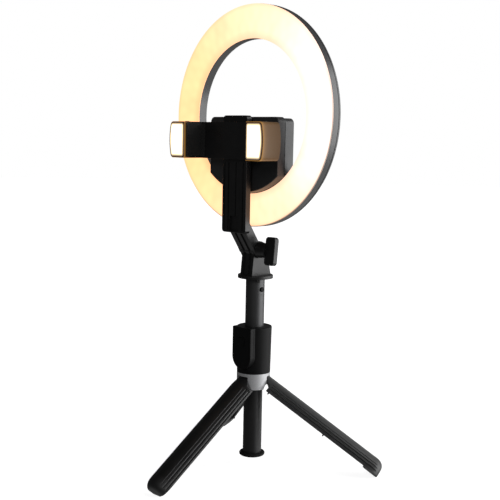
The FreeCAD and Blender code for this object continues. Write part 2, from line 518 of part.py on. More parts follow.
def make_clamp():
    z0, z1 = CLAMP_Z - CLAMP_HALF_Z, CLAMP_Z + CLAMP_HALF_Z
    front = block(-PLATE_HALF_X, PLATE_HALF_X, PLATE_FRONT_Y, CAVITY_Y1, z0, z1)
    front = front.cut(block(-50, 50, CAVITY_Y0, CAVITY_Y1 + 1, z0 + 5.0, z1 - 5.0))
    front = fused([front, rod(PIN_R, (0, CAVITY_Y0 - 0.1, CLAMP_Z), (0, CAVITY_Y1, CLAMP_Z))])
    keep("clamp_front", front)
    back = block(-PLATE_HALF_X, PLATE_HALF_X, CAVITY_Y1, PLATE_BACK_Y, z0, z1)
    back = back.cut(rod(PIVOT_R, (0, CAVITY_Y1 - 1, CLAMP_Z), (0, PLATE_BACK_Y + 1, CLAMP_Z)))
    keep("clamp_back", back)
    pivot = fused([rod(PIVOT_R, (0, CAVITY_Y1, CLAMP_Z), (0, RAIL_BACK_Y + 0.3, CLAMP_Z)),
                   rod(CAP_R, (0, RAIL_BACK_Y + 0.3, CLAMP_Z), (0, RAIL_BACK_Y + 1.8, CLAMP_Z))])
    keep("clamp_pivot", pivot)
    keep("jaw_pinion", make_pinion())


def jaw_block(inset, y0, y1):
    """The left jaw's outline: flat towards the phone, bowed outwards, moved in by the inset."""
    slab = block(-JAW_X1 + inset, -JAW_X0 - inset, y0, y1,
                 CLAMP_Z - CLAMP_HALF_Z + inset, CLAMP_Z + CLAMP_HALF_Z - inset)
    bow_x = JAW_BOW_R - JAW_X1
    slab = slab.common(rod(JAW_BOW_R - inset, (bow_x, y0, CLAMP_Z), (bow_x, y1, CLAMP_Z)))
    return rounded(slab, JAW_CORNER - 0.8 * inset, lambda edge: straight_along(edge, Y_AXIS)
                   and edge.CenterOfMass.x < -JAW_X1 + 5)


def left_jaw_shell():
    z0, z1 = CLAMP_Z - CLAMP_HALF_Z, CLAMP_Z + CLAMP_HALF_Z
    shell = jaw_block(0, JAW_FRONT_Y + 0.6, JAW_BACK_Y)
    shell = shell.cut(jaw_block(JAW_WALL, JAW_FRONT_Y - 1, JAW_BACK_Y - 1.6))
    foot = block(-58.0, -53.0, JAW_BACK_Y - 0.5, -31.3, z0 + 3, z1 - 3)
    button_hole = rod(JAW_BUTTON_R + 0.3, (-JAW_MIDDLE_X, JAW_BUTTON_Y, z1 - 3),
                      (-JAW_MIDDLE_X, JAW_BUTTON_Y, z1 + 1))
    return fused([shell.cut(button_hole), foot, rack_bar()])


def make_jaws():
    z0, z1 = CLAMP_Z - CLAMP_HALF_Z, CLAMP_Z + CLAMP_HALF_Z
    flange = jaw_block(0.5, JAW_FRONT_Y, JAW_FRONT_Y + 0.58)
    plug = jaw_block(1.5, JAW_FRONT_Y + 0.3, JAW_FRONT_Y + 2.2)
    pad = fused([block(-JAW_X0, -JAW_X0 + PAD_THICKNESS, -54.5, JAW_BACK_Y,
                       CLAMP_Z - PAD_HALF_Z, CLAMP_Z + PAD_HALF_Z),
                 block(-JAW_X0, -PAD_LIP_X, PLATE_FRONT_Y - 0.1 - PAD_THICKNESS, PLATE_FRONT_Y - 0.1,
                       CLAMP_Z - PAD_HALF_Z, CLAMP_Z + PAD_HALF_Z)])
    board = block(-59.6, -44.4, -51.0, -50.0, z0 + 4, z1 - 4)
    leds = [block(x - 1.4, x + 1.4, -51.8, -51.0, z - 1.4, z + 1.4)
            for x in (-55.5, -48.5) for z in (CLAMP_Z - 8, CLAMP_Z, CLAMP_Z + 8)]
    pieces = {
        "shell": left_jaw_shell(),
        "lens": fused([flange, plug]),
        "led_board": fused([board] + leds),
        "pad": pad,
        "cell": block(-58.5, -45.5, -43.5, -38.5, z0 + 4, z1 - 8),
        "button": rod(JAW_BUTTON_R, (-JAW_MIDDLE_X, JAW_BUTTON_Y, z1 - 2.4),
                      (-JAW_MIDDLE_X, JAW_BUTTON_Y, z1 + 0.5)),
    }
    for name, shape in pieces.items():
        keep("jaw_left_" + name, shape)
        # the right jaw is the left one turned half a turn about the clamp's own axis; its lamp parts
        # are mirrored instead so that both buttons are on top
        if name == "shell":
            bar_and_foot = turned(shape, (0, 0, CLAMP_Z), Y_AXIS, 180)
            keep("jaw_right_shell", right_jaw_shell(bar_and_foot))
        else:
            keep("jaw_right_" + name, mirrored_x(shape))


def right_jaw_shell(turned_left):
    """Move the button's hole from the underside, where the half turn puts it, back to the top."""
    z0, z1 = CLAMP_Z - CLAMP_HALF_Z, CLAMP_Z + CLAMP_HALF_Z
    x, y = JAW_MIDDLE_X, JAW_BUTTON_Y
    plug = rod(JAW_BUTTON_R + 0.3, (x, y, z0), (x, y, z0 + JAW_WALL))
    hole = rod(JAW_BUTTON_R + 0.3, (x, y, z1 - 3), (x, y, z1 + 1))
    return fused([turned_left, plug]).cut(hole)


# ---------------------------------------------------------------- ring and control box
def make_ring():
    housing = ring_y(RING_INNER_R, RING_R, RING_FRONT_Y, RING_BACK_Y)
    housing = rounded(housing, 1.6, lambda edge: edge.CenterOfMass.y > RING_BACK_Y - 0.1
                      and edge.Length > 600)
    tray = ring_y(RING_INNER_R + RING_WALL, RING_R - RING_WALL, RING_FRONT_Y - 1, RING_BACK_Y - RING_FLOOR)
    keep("ring_housing", housing.cut(tray))
    keep("ring_diffuser", ring_y(RING_INNER_R + RING_WALL + 0.05, RING_R - RING_WALL - 0.05,
                                 RING_FRONT_Y - 0.1, RING_FRONT_Y + 1.8))
    board_y = RING_BACK_Y - RING_FLOOR
    keep("ring_led_board", ring_y(76.0, 99.0, board_y - 1.2, board_y))
    leds = []
    for radius, offset in ((82.0, 0.0), (93.0, 0.5)):
        for k in range(LED_COUNT):
            led = block(-1.4, 1.4, board_y - 2.0, board_y - 1.2, RING_Z + radius - 1.4, RING_Z + radius + 1.4)
            leds.append(turned(led, (0, 0, RING_Z), Y_AXIS, 360.0 * (k + offset) / LED_COUNT))
    keep("ring_leds", Part.makeCompound(leds))


def box_outline(half, top_z, radius, corner, y0, y1):
    """Straight sides and top, and a bottom that follows the ring's inner edge."""
    slab = block(-half, half, y0, y1, RING_Z - radius - 5, top_z)
    slab = rounded(slab, corner, lambda edge: straight_along(edge, Y_AXIS) and edge.CenterOfMass.z > top_z - 1)
    return slab.common(rod(radius, (0, y0, RING_Z), (0, y1, RING_Z)))


def drafted_outline(inset, y0, y1):
    """The front shell's outline, which widens from its face to the seam, moved in by the inset."""
    wires = []
    for y, half, radius in ((y0, BOX_HALF, BOX_FRONT_R), (y1, BOX_SEAM_HALF, BOX_SEAM_R)):
        slab = box_outline(half - inset, BOX_TOP_Z - inset, radius - inset, 5.0 - 0.8 * inset, y, y + 1)
        face = min(slab.Faces, key=lambda one: one.CenterOfMass.y)
        wires.append(face.OuterWire)
    return Part.makeLoft(wires, True, True)


def make_control_box():
    seam = RING_FRONT_Y
    front = drafted_outline(0, BOX_FRONT_Y, seam)
    front = rounded(front, 0.9, lambda edge: edge.CenterOfMass.y < BOX_FRONT_Y + 0.01)
    front = front.cut(drafted_outline(BOX_WALL, BOX_FRONT_Y + BOX_WALL, seam + 0.01))
    half = KNUCKLE_X0 - 0.2
    knuckle = fused([rod(KNUCKLE_R, (-half, RING_HINGE_Y, RING_HINGE_Z), (half, RING_HINGE_Y, RING_HINGE_Z)),
                     block(-half, half, RING_HINGE_Y, BOX_FRONT_Y + 0.5,
                           RING_HINGE_Z - KNUCKLE_R, RING_HINGE_Z + KNUCKLE_R)])
    front = fused([front, knuckle])
    front = front.cut(rod(PIN_R + 0.06, (-11, RING_HINGE_Y, RING_HINGE_Z), (11, RING_HINGE_Y, RING_HINGE_Z)))
    rear = box_outline(BOX_REAR_HALF, BOX_REAR_TOP_Z, RING_INNER_R - 0.05, 5.0, seam, RING_BACK_Y)
    rear = rear.cut(box_outline(BOX_REAR_HALF - BOX_WALL, BOX_REAR_TOP_Z - BOX_WALL,
                                RING_INNER_R - 0.05 - BOX_WALL, 3.5, seam - 1, RING_BACK_Y - BOX_WALL))
    x0, x1, y0, y1, z0 = SOCKET_X0, SOCKET_X1, SOCKET_Y0, SOCKET_Y1, SOCKET_Z0
    socket_outer = block(x0, x1, y0, y1, z0, BOX_REAR_TOP_Z + 0.3)
    socket_outer = rounded(socket_outer, 1.3, lambda edge: straight_along(edge, Z_AXIS))
    socket_hole = block(x0 - 0.2, x1 + 0.2, y0 - 0.2, y1 + 0.2, z0 + 4, z0 + 15)
    rear = rear.cut(socket_hole)
    socket_mouth = block(x0 + 0.8, x1 - 0.8, y0 + 0.5, y1 - 0.5, z0 + 1, z0 + 15)
    keep("charge_socket", socket_outer.cut(socket_mouth))
    for name, x in BUTTON_XS.items():
        rear = rear.cut(rod(BUTTON_R + 0.3, (x, RING_BACK_Y - 4, BUTTON_Z), (x, RING_BACK_Y + 1, BUTTON_Z)))
        cap = rod(BUTTON_R, (x, RING_BACK_Y - 2.6, BUTTON_Z), (x, RING_BACK_Y + 0.7, BUTTON_Z))
        keep("button_" + name, rounded(cap, 0.4, lambda edge: edge.CenterOfMass.y > RING_BACK_Y + 0.6
                                       and edge.Length > 15))
    screws = []
    for x, z in BOX_SCREWS:
        boss = rod(3.0, (x, seam, z), (x, RING_BACK_Y - 0.5, z))
        rear = fused([rear, boss])
        rear = rear.cut(rod(1.25, (x, seam - 1, z), (x, RING_BACK_Y + 1, z)))
        rear = rear.cut(rod(2.3, (x, RING_BACK_Y - 1.5, z), (x, RING_BACK_Y + 1, z)))
        front = fused([front, rod(3.0, (x, BOX_FRONT_Y + 1.0, z), (x, seam, z))])
        front = front.cut(rod(1.25, (x, BOX_FRONT_Y + 3.0, z), (x, seam + 1, z)))
        screws.append(fused([rod(1.2, (x, BOX_FRONT_Y + 3.2, z), (x, RING_BACK_Y - 1.4, z)),
                             rod(2.2, (x, RING_BACK_Y - 1.48, z), (x, RING_BACK_Y - 0.1, z))]))
    keep("box_front", front)
    keep("box_rear", rear)
    keep("box_screws", Part.makeCompound(screws))
    keep("battery", block(-26.0, 26.0, -15.0, -6.5, 282.0, 316.0))
    keep("control_board", block(-24.0, 24.0, -7.2, -6.0, 318.5, 333.0))


make_legs()
make_hub()
make_mast()
make_handle()
make_remote()
make_head()
make_knob()
make_arm()
make_clamp()
make_jaws()
make_ring()
make_control_box()

for node_name, node_shape in NODES.items():
    node_shape.exportStep("parts/%s.step" % node_name)
    print(node_name, len(node_shape.Solids), node_shape.isValid(), round(node_shape.Volume))
print("open angle", leg_open_angle(), "nodes", len(NODES))
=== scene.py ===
import json
import math

import bmesh
import bpy
from mathutils import Matrix, Vector

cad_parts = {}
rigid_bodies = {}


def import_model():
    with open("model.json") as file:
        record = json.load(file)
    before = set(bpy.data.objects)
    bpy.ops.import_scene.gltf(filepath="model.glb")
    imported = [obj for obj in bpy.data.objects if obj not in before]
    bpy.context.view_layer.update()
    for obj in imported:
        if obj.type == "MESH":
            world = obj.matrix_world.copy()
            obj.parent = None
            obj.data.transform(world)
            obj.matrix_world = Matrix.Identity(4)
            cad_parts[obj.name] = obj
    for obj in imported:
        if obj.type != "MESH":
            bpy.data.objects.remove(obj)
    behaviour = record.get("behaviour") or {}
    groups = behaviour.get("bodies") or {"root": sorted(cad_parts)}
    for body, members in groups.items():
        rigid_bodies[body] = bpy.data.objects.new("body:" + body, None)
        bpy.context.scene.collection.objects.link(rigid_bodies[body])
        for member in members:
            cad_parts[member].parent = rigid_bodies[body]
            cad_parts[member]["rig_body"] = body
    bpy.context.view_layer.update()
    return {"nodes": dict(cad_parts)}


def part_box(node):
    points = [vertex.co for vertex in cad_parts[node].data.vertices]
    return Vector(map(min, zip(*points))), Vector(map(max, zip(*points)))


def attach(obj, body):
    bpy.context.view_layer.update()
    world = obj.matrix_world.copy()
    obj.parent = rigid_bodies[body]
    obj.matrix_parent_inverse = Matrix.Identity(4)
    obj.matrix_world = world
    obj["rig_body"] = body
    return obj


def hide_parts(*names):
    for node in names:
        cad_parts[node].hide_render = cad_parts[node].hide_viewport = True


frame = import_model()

# Ring light on a folding tripod mast. Outlines are in millimetres in the row frame
# (+Z up, the light faces -Y) and MM turns them into metres.
MM = 0.001
NODES = frame["nodes"]


# ---------------------------------------------------------------- places, read from the frame where it tells
def box_mm(node):
    """The lowest and highest corner of a CAD node, in millimetres."""
    low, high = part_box(node)
    return [v / MM for v in low], [v / MM for v in high]


def body_of(node):
    """The body that a CAD node rides on."""
    return NODES[node]["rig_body"]


RING_LOW, RING_HIGH = box_mm("ring_housing")
RING_R = (RING_HIGH[0] - RING_LOW[0]) / 2
RING_Z = (RING_HIGH[2] + RING_LOW[2]) / 2
RING_FRONT_Y, RING_BACK_Y = RING_LOW[1], RING_HIGH[1]
RING_INNER_R = 71.6
LED_COUNT = 48           # in each of the two rows
LED_ROWS = (82.0, 93.0)  # radii of the rows
BOX_SCREWS = ((-38.0, 330.0), (38.0, 330.0), (-30.0, 290.0), (30.0, 290.0))
CLAMP_LOW, CLAMP_HIGH = box_mm("clamp_front")
CLAMP_Z = (CLAMP_LOW[2] + CLAMP_HIGH[2]) / 2
LENS_LOW, LENS_HIGH = box_mm("jaw_right_lens")
PAD_LOW, PAD_HIGH = box_mm("jaw_right_pad")
JAW_BOW = 2.3            # how far the jaw's outer side bows out
JAW_CORNER_R = 3.4       # the jaw's outer corners seen from the front
PAD_THICKNESS = 1.4
ARM_SCREW_X = 7.0
LOCK_LOW, LOCK_HIGH = box_mm("mast_button")
TUBE_R = box_mm("mast_tube")[1][0]
SMOOTH_BELOW = 35.0      # edges flatter than this are shaded smooth
BEVEL_ABOVE = 30.0       # edges sharper than this are rounded


# ---------------------------------------------------------------- mesh helpers
def link_mesh(name, bm, sharp=SMOOTH_BELOW):
    """The bmesh as an object of the scene, shaded smooth except over its sharp edges."""
    bmesh.ops.recalc_face_normals(bm, faces=bm.faces)
    mesh = bpy.data.meshes.new(name)
    bm.to_mesh(mesh)
    bm.free()
    # what a CAD mesh brings along would override the shading set here
    for attribute in ("custom_normal", "sharp_face", "sharp_edge"):
        if attribute in mesh.attributes:
            mesh.attributes.remove(mesh.attributes[attribute])
    mesh.shade_smooth()
    mesh.set_sharp_from_angle(angle=math.radians(sharp))
    obj = bpy.data.objects.new(name, mesh)
    bpy.context.scene.collection.objects.link(obj)
    return obj


def soften(obj, width, segments):
    """Round every sharp edge, as moulding does."""
    bevel = obj.modifiers.new("edges", "BEVEL")
    bevel.width = width * MM
    bevel.segments = segments
    bevel.limit_method = "ANGLE"
    bevel.angle_limit = math.radians(BEVEL_ABOVE)
    bevel.use_clamp_overlap = True
    return bake_modifiers(obj)


def bake_modifiers(obj):
    """The mesh that the modifiers make becomes the object's own."""
    graph = bpy.context.evaluated_depsgraph_get()
    mesh = bpy.data.meshes.new_from_object(obj.evaluated_get(graph))
    obj.modifiers.clear()
    obj.data = mesh
    mesh.shade_smooth()
    mesh.set_sharp_from_angle(angle=math.radians(SMOOTH_BELOW))
    return obj


def joined(name, objs):
    """One mesh holding several closed shells."""
    bm = bmesh.new()
    for obj in objs:
        bm.from_mesh(obj.data)
        bpy.data.objects.remove(obj)
    return link_mesh(name, bm)


def cut(obj, cutter):
    """Take the cutter's volume out of the object."""
    boolean = obj.modifiers.new("cut", "BOOLEAN")
    boolean.object = cutter
    boolean.operation = "DIFFERENCE"
    boolean.solver = "EXACT"
    bake_modifiers(obj)
    bpy.data.objects.remove(cutter)
    return obj


def rounded(points, radii, steps):
    """A closed outline with each corner turned into a circular arc of its own radius."""
    out = []
    for k, (corner, radius) in enumerate(zip(points, radii)):
        here = Vector(corner)
        before = Vector(points[k - 1])
        after = Vector(points[(k + 1) % len(points)])
        to_before, to_after = before - here, after - here
        half = to_before.angle(to_after) / 2
        if radius <= 0 or half > math.radians(89):
            out.append(tuple(here))
            continue
        reach = radius / math.tan(half)
        inwards = (to_before.normalized() + to_after.normalized()).normalized()
        centre = here + inwards * (radius / math.sin(half))
        first = here + to_before.normalized() * reach - centre
        last = here + to_after.normalized() * reach - centre
        turn = first.angle_signed(last)
        for step in range(steps + 1):
            out.append(tuple(centre + Matrix.Rotation(-turn * step / steps, 2) @ first))
    return out


def skin(bm, rows):
    """Faces between each ring of points and the next."""
    for low, high in zip(rows, rows[1:]):
        for k in range(len(low)):
            j = (k + 1) % len(low)
            bm.faces.new((low[k], low[j], high[j], high[k]))


def solid_from_rings(name, rings, sharp=SMOOTH_BELOW):
    """Skin a stack of equal rings of points, in millimetres, into a closed solid."""
    bm = bmesh.new()
    rows = [[bm.verts.new(Vector(p) * MM) for p in ring] for ring in rings]
    skin(bm, rows)
    bm.faces.new(rows[0][::-1])
    bm.faces.new(rows[-1])
    return link_mesh(name, bm, sharp)


def lathe(name, outline, axis, centre, steps):
    """Turn a closed outline of (radius, along) about the Y or Z axis through the centre."""
    bm = bmesh.new()
    rows = []
    for k in range(steps):
        a = 2 * math.pi * k / steps
        row = []
        for radius, along in outline:
            u, v = radius * math.cos(a), radius * math.sin(a)
            point = Vector((u, v, along) if axis == "Z" else (u, along, v))
            row.append(bm.verts.new((point + Vector(centre)) * MM))
        rows.append(row)
    skin(bm, rows + rows[:1])
    bmesh.ops.remove_doubles(bm, verts=bm.verts, dist=1e-7)
    bmesh.ops.dissolve_degenerate(bm, dist=1e-8, edges=bm.edges)
    return link_mesh(name, bm)


def rod(name, radius, start, end, edge):
    """A round bar between two points with eased ends."""
    a, b = Vector(start), Vector(end)
    length = (b - a).length
    outline = rounded([(0, 0), (radius, 0), (radius, length), (0, length)], [0, edge, edge, 0], 3)
    obj = lathe(name, outline, "Z", (0, 0, 0), 40)
    turn = (b - a).to_track_quat("Z", "Y").to_matrix().to_4x4()
    obj.data.transform(Matrix.Translation(a * MM) @ turn)
    return obj


def screw(x, z, tip_y, seat_y, top_y, shank_r, head_r):
    """A screw along Y whose domed head has a cross recess."""
    outline = [(0, tip_y), (shank_r - 0.35, tip_y), (shank_r, tip_y + 0.6), (shank_r, seat_y),
               (head_r, seat_y), (head_r, top_y - 0.5), (head_r - 0.25, top_y - 0.2),
               (head_r - 0.7, top_y - 0.06), (0, top_y)]
    obj = lathe("screw", outline, "Y", (x, 0, z), 40)
    recess_depth, wide, narrow = 0.8, 1.25, 0.3
    for half_x, half_z in ((narrow, wide), (wide, narrow)):
        corners = [(x - half_x, z - half_z), (x + half_x, z - half_z),
                   (x + half_x, z + half_z), (x - half_x, z + half_z)]
        rings = [[(u, y, v) for u, v in corners] for y in (top_y - recess_depth, top_y + 1)]
        cut(obj, solid_from_rings("recess", rings))
    return obj


def from_cad(node, width, segments=2):
    """The CAD node's own shape as one clean mesh with its edges eased."""
    bm = bmesh.new()
    bm.from_mesh(NODES[node].data)
    bmesh.ops.remove_doubles(bm, verts=bm.verts, dist=2e-6)
    bmesh.ops.dissolve_limit(bm, angle_limit=math.radians(0.7), verts=bm.verts, edges=bm.edges)
    return soften(link_mesh(node + "_finished", bm), width, segments)


def settle(obj, node, material):
    """The piece stands for the CAD node, rides on its body and wears the given material."""
    obj.data.materials.clear()
    obj.data.materials.append(material)
    normals = obj.modifiers.new("normals", "WEIGHTED_NORMAL")
    normals.keep_sharp = True
    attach(obj, body_of(node))
    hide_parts(node)
    return obj


def dress(node, material):
    """The CAD node's own mesh stays and gets the material."""
    mesh = NODES[node].data
    mesh.materials.clear()
    mesh.materials.append(material)


# ---------------------------------------------------------------- material helpers
def add_node(tree, kind, values=None, **settings):
    """A new node; a value that is a socket is linked to its input, any other is set there."""
    node = tree.nodes.new(kind)
    for key, value in settings.items():
        setattr(node, key, value)
    for key, value in (values or {}).items():
        if isinstance(value, bpy.types.NodeSocket):
            tree.links.new(value, node.inputs[key])
        else:
            node.inputs[key].default_value = value
    return node


class Shader:
    """A short way to write a node material, or to add to one that has the name already."""

    def __init__(self, name, **values):
        material = bpy.data.materials.get(name) or bpy.data.materials.new(name)
        material.use_nodes = True
        self.material = material
        self.tree = material.node_tree
        self.bsdf = self.tree.nodes["Principled BSDF"]
        for key, value in values.items():
            self.bsdf.inputs[key.replace("_", " ")].default_value = value
        self.coordinates = self.add("ShaderNodeTexCoord").outputs["Object"]

    def add(self, kind, values=None, **settings):
        return add_node(self.tree, kind, values, **settings)

    def math(self, operation, *values, clamp=False):
        numbered = dict(enumerate(values))
        return self.add("ShaderNodeMath", numbered, operation=operation, use_clamp=clamp).outputs[0]

    def product(self, a, b):
        return self.math("MULTIPLY", a, b)

    def length(self, a, b):
        return self.math("SQRT", self.math("ADD", self.product(a, a), self.product(b, b)))

    def place(self):
        """The X, Y and Z of the shaded point, by name."""
        return self.add("ShaderNodeSeparateXYZ", {"Vector": self.coordinates}).outputs

    def noise(self, scale, detail=2.0, roughness=0.5, vector=None):
        values = {"Vector": vector or self.coordinates, "Scale": scale, "Detail": detail,
                  "Roughness": roughness}
        return self.add("ShaderNodeTexNoise", values).outputs["Fac"]

    def stretched(self, scale):
        return self.add("ShaderNodeMapping", {"Vector": self.coordinates, "Scale": scale}).outputs[0]

    def range(self, value, a, b, low, high):
        values = {"Value": value, "From Min": a, "From Max": b, "To Min": low, "To Max": high}
        return self.add("ShaderNodeMapRange", values).outputs[0]

    def mix(self, factor, a, b):
        node = self.add("ShaderNodeMix", {0: factor, 6: a, 7: b}, data_type="RGBA")
        return node.outputs[2]

    def ramp(self, value, stops):
        node = self.add("ShaderNodeValToRGB", {"Fac": value})
        points = node.color_ramp.elements
        while len(points) < len(stops):
            points.new(0.5)
        for point, (position, colour) in zip(points, stops):
            point.position = position
            point.color = (*colour, 1.0)
        return node.outputs["Color"]

    def bump(self, height, strength, distance):
        values = {"Height": height, "Strength": strength, "Distance": distance}
        return self.add("ShaderNodeBump", values).outputs["Normal"]

    def set(self, key, socket):
        self.tree.links.new(socket, self.bsdf.inputs[key])


def grey(value, tint=0.0):
    """A grey that the tint shifts towards blue."""
    return (value, value * (1 + tint * 0.3), value * (1 + tint), 1.0)


def moulded(name, tone, roughness, grain=0.35, grain_size=0.35, specular=0.5):
    """Moulded plastic: fine spark-eroded grain, faint flow marks and slightly polished edges, whose colour
    is lightened as a painted highlight.
    """
    s = Shader(name, Specular_IOR_Level=specular)
    tint, mottling, sheen_tone = 0.05, 0.12, 1.7
    flow = s.noise(45.0, 3.0, 0.55)
    cloud = s.noise(220.0, 2.0)
    # painted highlight: sharp edges get a lighter colour, an edge sheen painted in to show the shape, and a
    # little less roughness
    edge_sheen = s.range(s.add("ShaderNodeNewGeometry").outputs["Pointiness"], 0.51, 0.58, 0.0, 1.0)
    body = s.mix(flow, grey(tone * (1 - mottling), tint), grey(tone * (1 + mottling), tint))
    s.set("Base Color", s.mix(s.product(edge_sheen, cloud), body, grey(tone * sheen_tone, tint)))
    rough = s.range(flow, 0.3, 0.7, roughness - 0.05, roughness + 0.06)
    s.set("Roughness", s.math("SUBTRACT", rough, s.product(edge_sheen, 0.06), clamp=True))
    pits = s.noise(1.0 / (grain_size * MM), 3.0, 0.6)
    s.set("Normal", s.bump(pits, grain, 0.00004))
    return s.material


def brushed(name, tone, roughness, metallic=1.0, direction=(6.0, 6.0, 2600.0), depth=0.25):
    """Drawn metal: long fine lines, with a slow change of polish along them."""
    s = Shader(name, Metallic=metallic)
    tint = 0.03
    lines = s.noise(1.0, 3.0, 0.65, s.stretched(direction))
    slow = s.noise(30.0, 2.0)
    s.set("Base Color", s.mix(lines, grey(tone * 0.82, tint), grey(tone * 1.2, tint)))
    mixed = s.math("ADD", s.product(lines, 0.16), s.product(slow, 0.08))
    s.set("Roughness", s.math("ADD", mixed, roughness - 0.12))
    s.set("Normal", s.bump(lines, depth, 0.00002))
    return s.material


# ---------------------------------------------------------------- materials
def ring_glow():
    """Opal diffuser lit from behind: warm on one side, and brighter over each LED."""
    s = Shader("ring_glow", Base_Color=(0.3, 0.28, 0.24, 1.0), Roughness=0.5)
    place = s.place()
    across, up = place["X"], s.math("SUBTRACT", place["Z"], RING_Z * MM)
    radius = s.length(up, across)
    # the warm tone runs round the ring: coolest and brightest on one side
    angle = s.math("ARCTAN2", across, up)
    lean = s.math("COSINE", s.math("SUBTRACT", angle, math.radians(82.0)))
    side = s.range(lean, -1.0, 1.0, 0.0, 1.0)
    tone = s.ramp(side, [(0.0, (1.0, 0.494, 0.225)), (0.15, (1.0, 0.5, 0.2375)),
                         (0.35, (1.0, 0.53, 0.2875)), (0.57, (1.0, 0.58, 0.356)),
                         (0.735, (1.0, 0.606, 0.4)), (0.87, (1.0, 0.656, 0.53)),
                         (0.96, (1.0, 0.72, 0.625))])
    # soft bright spots over the LEDs of both rows
    glow = 0.0
    for row, phase in zip(LED_ROWS, (0.0, 0.5)):
        turns = s.math("ADD", s.product(angle, LED_COUNT / (2 * math.pi)), phase)
        wave = s.math("COSINE", s.product(turns, 2 * math.pi))
        beat = s.math("ADD", s.product(wave, 0.5), 0.5)
        away = s.math("DIVIDE", s.math("SUBTRACT", radius, row * MM), 6.5 * MM)
        near = s.math("EXPONENT", s.product(s.product(away, away), -1.0))
        glow = s.math("ADD", glow, s.product(beat, near))
    patches = s.noise(48.0, 1.0, 0.4)
    level = s.math("ADD", s.product(glow, 0.05), s.range(patches, 0.3, 0.7, -0.04, 0.06))
    # both rims are a little dimmer
    inner = s.range(radius, (RING_INNER_R + 0.5) * MM, (RING_INNER_R + 8.0) * MM, 0.8, 1.0)
    outer = s.range(radius, (RING_R - 4.0) * MM, (RING_R - 0.3) * MM, 1.0, 0.86)
    level = s.product(s.math("ADD", level, 1.0), s.product(inner, outer))
    # painted shade: the outer rim is painted darker on the lower side, where less light reaches it
    turned = s.math("COSINE", s.math("SUBTRACT", angle, math.radians(150.0)))
    low_side = s.math("MULTIPLY", turned, 1.6, clamp=True)
    dark = s.product(s.range(radius, (RING_R - 1.3) * MM, (RING_R - 0.3) * MM, 0.0, 0.85), low_side)
    level = s.product(level, s.math("SUBTRACT", 1.0, dark))
    s.set("Emission Color", tone)
    s.set("Emission Strength", s.product(level, 1.62))
    s.set("Normal", s.bump(s.noise(2400.0, 2.0), 0.15, 0.00003))
    return s.material


def jaw_glow():
    """The clamp's fill lights: white hot in the middle, warm along the edge, with a dark rim."""
    s = Shader("jaw_glow", Roughness=0.3)
    place = s.place()
    half = (LENS_HIGH[2] - LENS_LOW[2]) / 2 * MM
    across = s.math("ABSOLUTE", place["X"])
    rise = s.math("ABSOLUTE", s.math("SUBTRACT", place["Z"], CLAMP_Z * MM))
    # distances from the bowed outer side and from the flat inner one, which lights up sooner
    end = s.math("DIVIDE", rise, half)
    bow = s.product(s.product(end, end), JAW_BOW * MM)
    outer = s.math("SUBTRACT", s.math("SUBTRACT", LENS_HIGH[0] * MM, bow), across)
    inner = s.math("SUBTRACT", across, (LENS_LOW[0] - 0.5) * MM)
    # how far inside the lens's rounded outline a point lies
    corner = 3.2 * MM
    short = s.math("MAXIMUM", s.math("SUBTRACT", corner, s.math("MINIMUM", outer, inner)), 0.0)
    tall = s.math("MAXIMUM", s.math("ADD", s.math("SUBTRACT", rise, half), corner), 0.0)
    inside = s.math("SUBTRACT", corner, s.length(short, tall))
    hot = s.range(inside, 0.45 * MM, 3.0 * MM, 0.0, 1.0)
    s.set("Base Color", s.ramp(hot, [(0.0, (0.012, 0.006, 0.004)), (0.35, (0.85, 0.8, 0.7))]))
    s.set("Emission Color", s.ramp(hot, [(0.0, (1.0, 0.3, 0.05)), (0.45, (1.0, 0.68, 0.3)),
                                         (1.0, (1.0, 0.86, 0.56))]))
    level = s.range(s.product(hot, hot), 0.0, 1.0, 0.02, 2.4)
    lower_half = s.range(place["Z"], CLAMP_Z * MM - half, CLAMP_Z * MM, 0.72, 1.0)
    patches = s.range(s.noise(160.0, 2.0), 0.3, 0.7, 0.92, 1.08)
    s.set("Emission Strength", s.product(s.product(level, patches), lower_half))
    return s.material


def smoked_shell():
    """The jaws' smoked plastic, with a painted brown glow standing in for the light behind the lens showing
    through it.
    """
    moulded("smoked_shell", 0.01, 0.36, grain=0.25, specular=0.27)
    # painted light: the shell emits this orange glow, though it is no lamp
    s = Shader("smoked_shell", Emission_Color=(1.0, 0.5, 0.12, 1.0))
    place = s.place()
    # painted glow, strongest at the lens rim and fading behind it
    depth = s.math("SUBTRACT", place["Y"], (LENS_LOW[1] + 0.6) * MM)
    painted_lens_glow = s.math("EXPONENT", s.math("DIVIDE", depth, -1.8 * MM))
    across = s.math("ABSOLUTE", place["X"])
    # painted glow, fainter, over the outer walls and weaker towards the back
    out = s.range(across, (LENS_LOW[0] + 2.0) * MM, (LENS_HIGH[0] - 2.0) * MM, 0.0, 1.0)
    wall = s.product(out, s.range(depth, 0.0, 20.0 * MM, 0.12, 0.075))
    s.set("Emission Strength", s.math("ADD", s.product(painted_lens_glow, 0.26), wall))
    return s.material


def led_phosphor():
    """The yellow phosphor of the LEDs."""
    s = Shader("led_phosphor", Roughness=0.35)
    s.set("Base Color", s.mix(s.noise(900.0, 2.0), (0.85, 0.72, 0.25, 1.0), (0.95, 0.86, 0.45, 1.0)))
    s.set("Normal", s.bump(s.noise(3000.0), 0.2, 0.00002))
    return s.material


def circuit_board():
    """Green solder mask with faint copper tracks under it and tinned pads."""
    s = Shader("circuit_board", Roughness=0.32)
    bricks = s.add("ShaderNodeTexBrick", {"Vector": s.coordinates, "Scale": 260.0, "Mortar Size": 0.08})
    tracks = bricks.outputs["Fac"]
    mask = s.mix(tracks, (0.012, 0.075, 0.03, 1.0), (0.03, 0.14, 0.05, 1.0))
    cells = s.add("ShaderNodeTexVoronoi", {"Vector": s.coordinates, "Scale": 320.0})
    pads = s.range(cells.outputs["Distance"], 0.1, 0.14, 1.0, 0.0)
    s.set("Base Color", s.mix(pads, mask, (0.72, 0.7, 0.66, 1.0)))
    s.set("Metallic", pads)
    s.set("Normal", s.bump(tracks, 0.3, 0.00003))
    return s.material


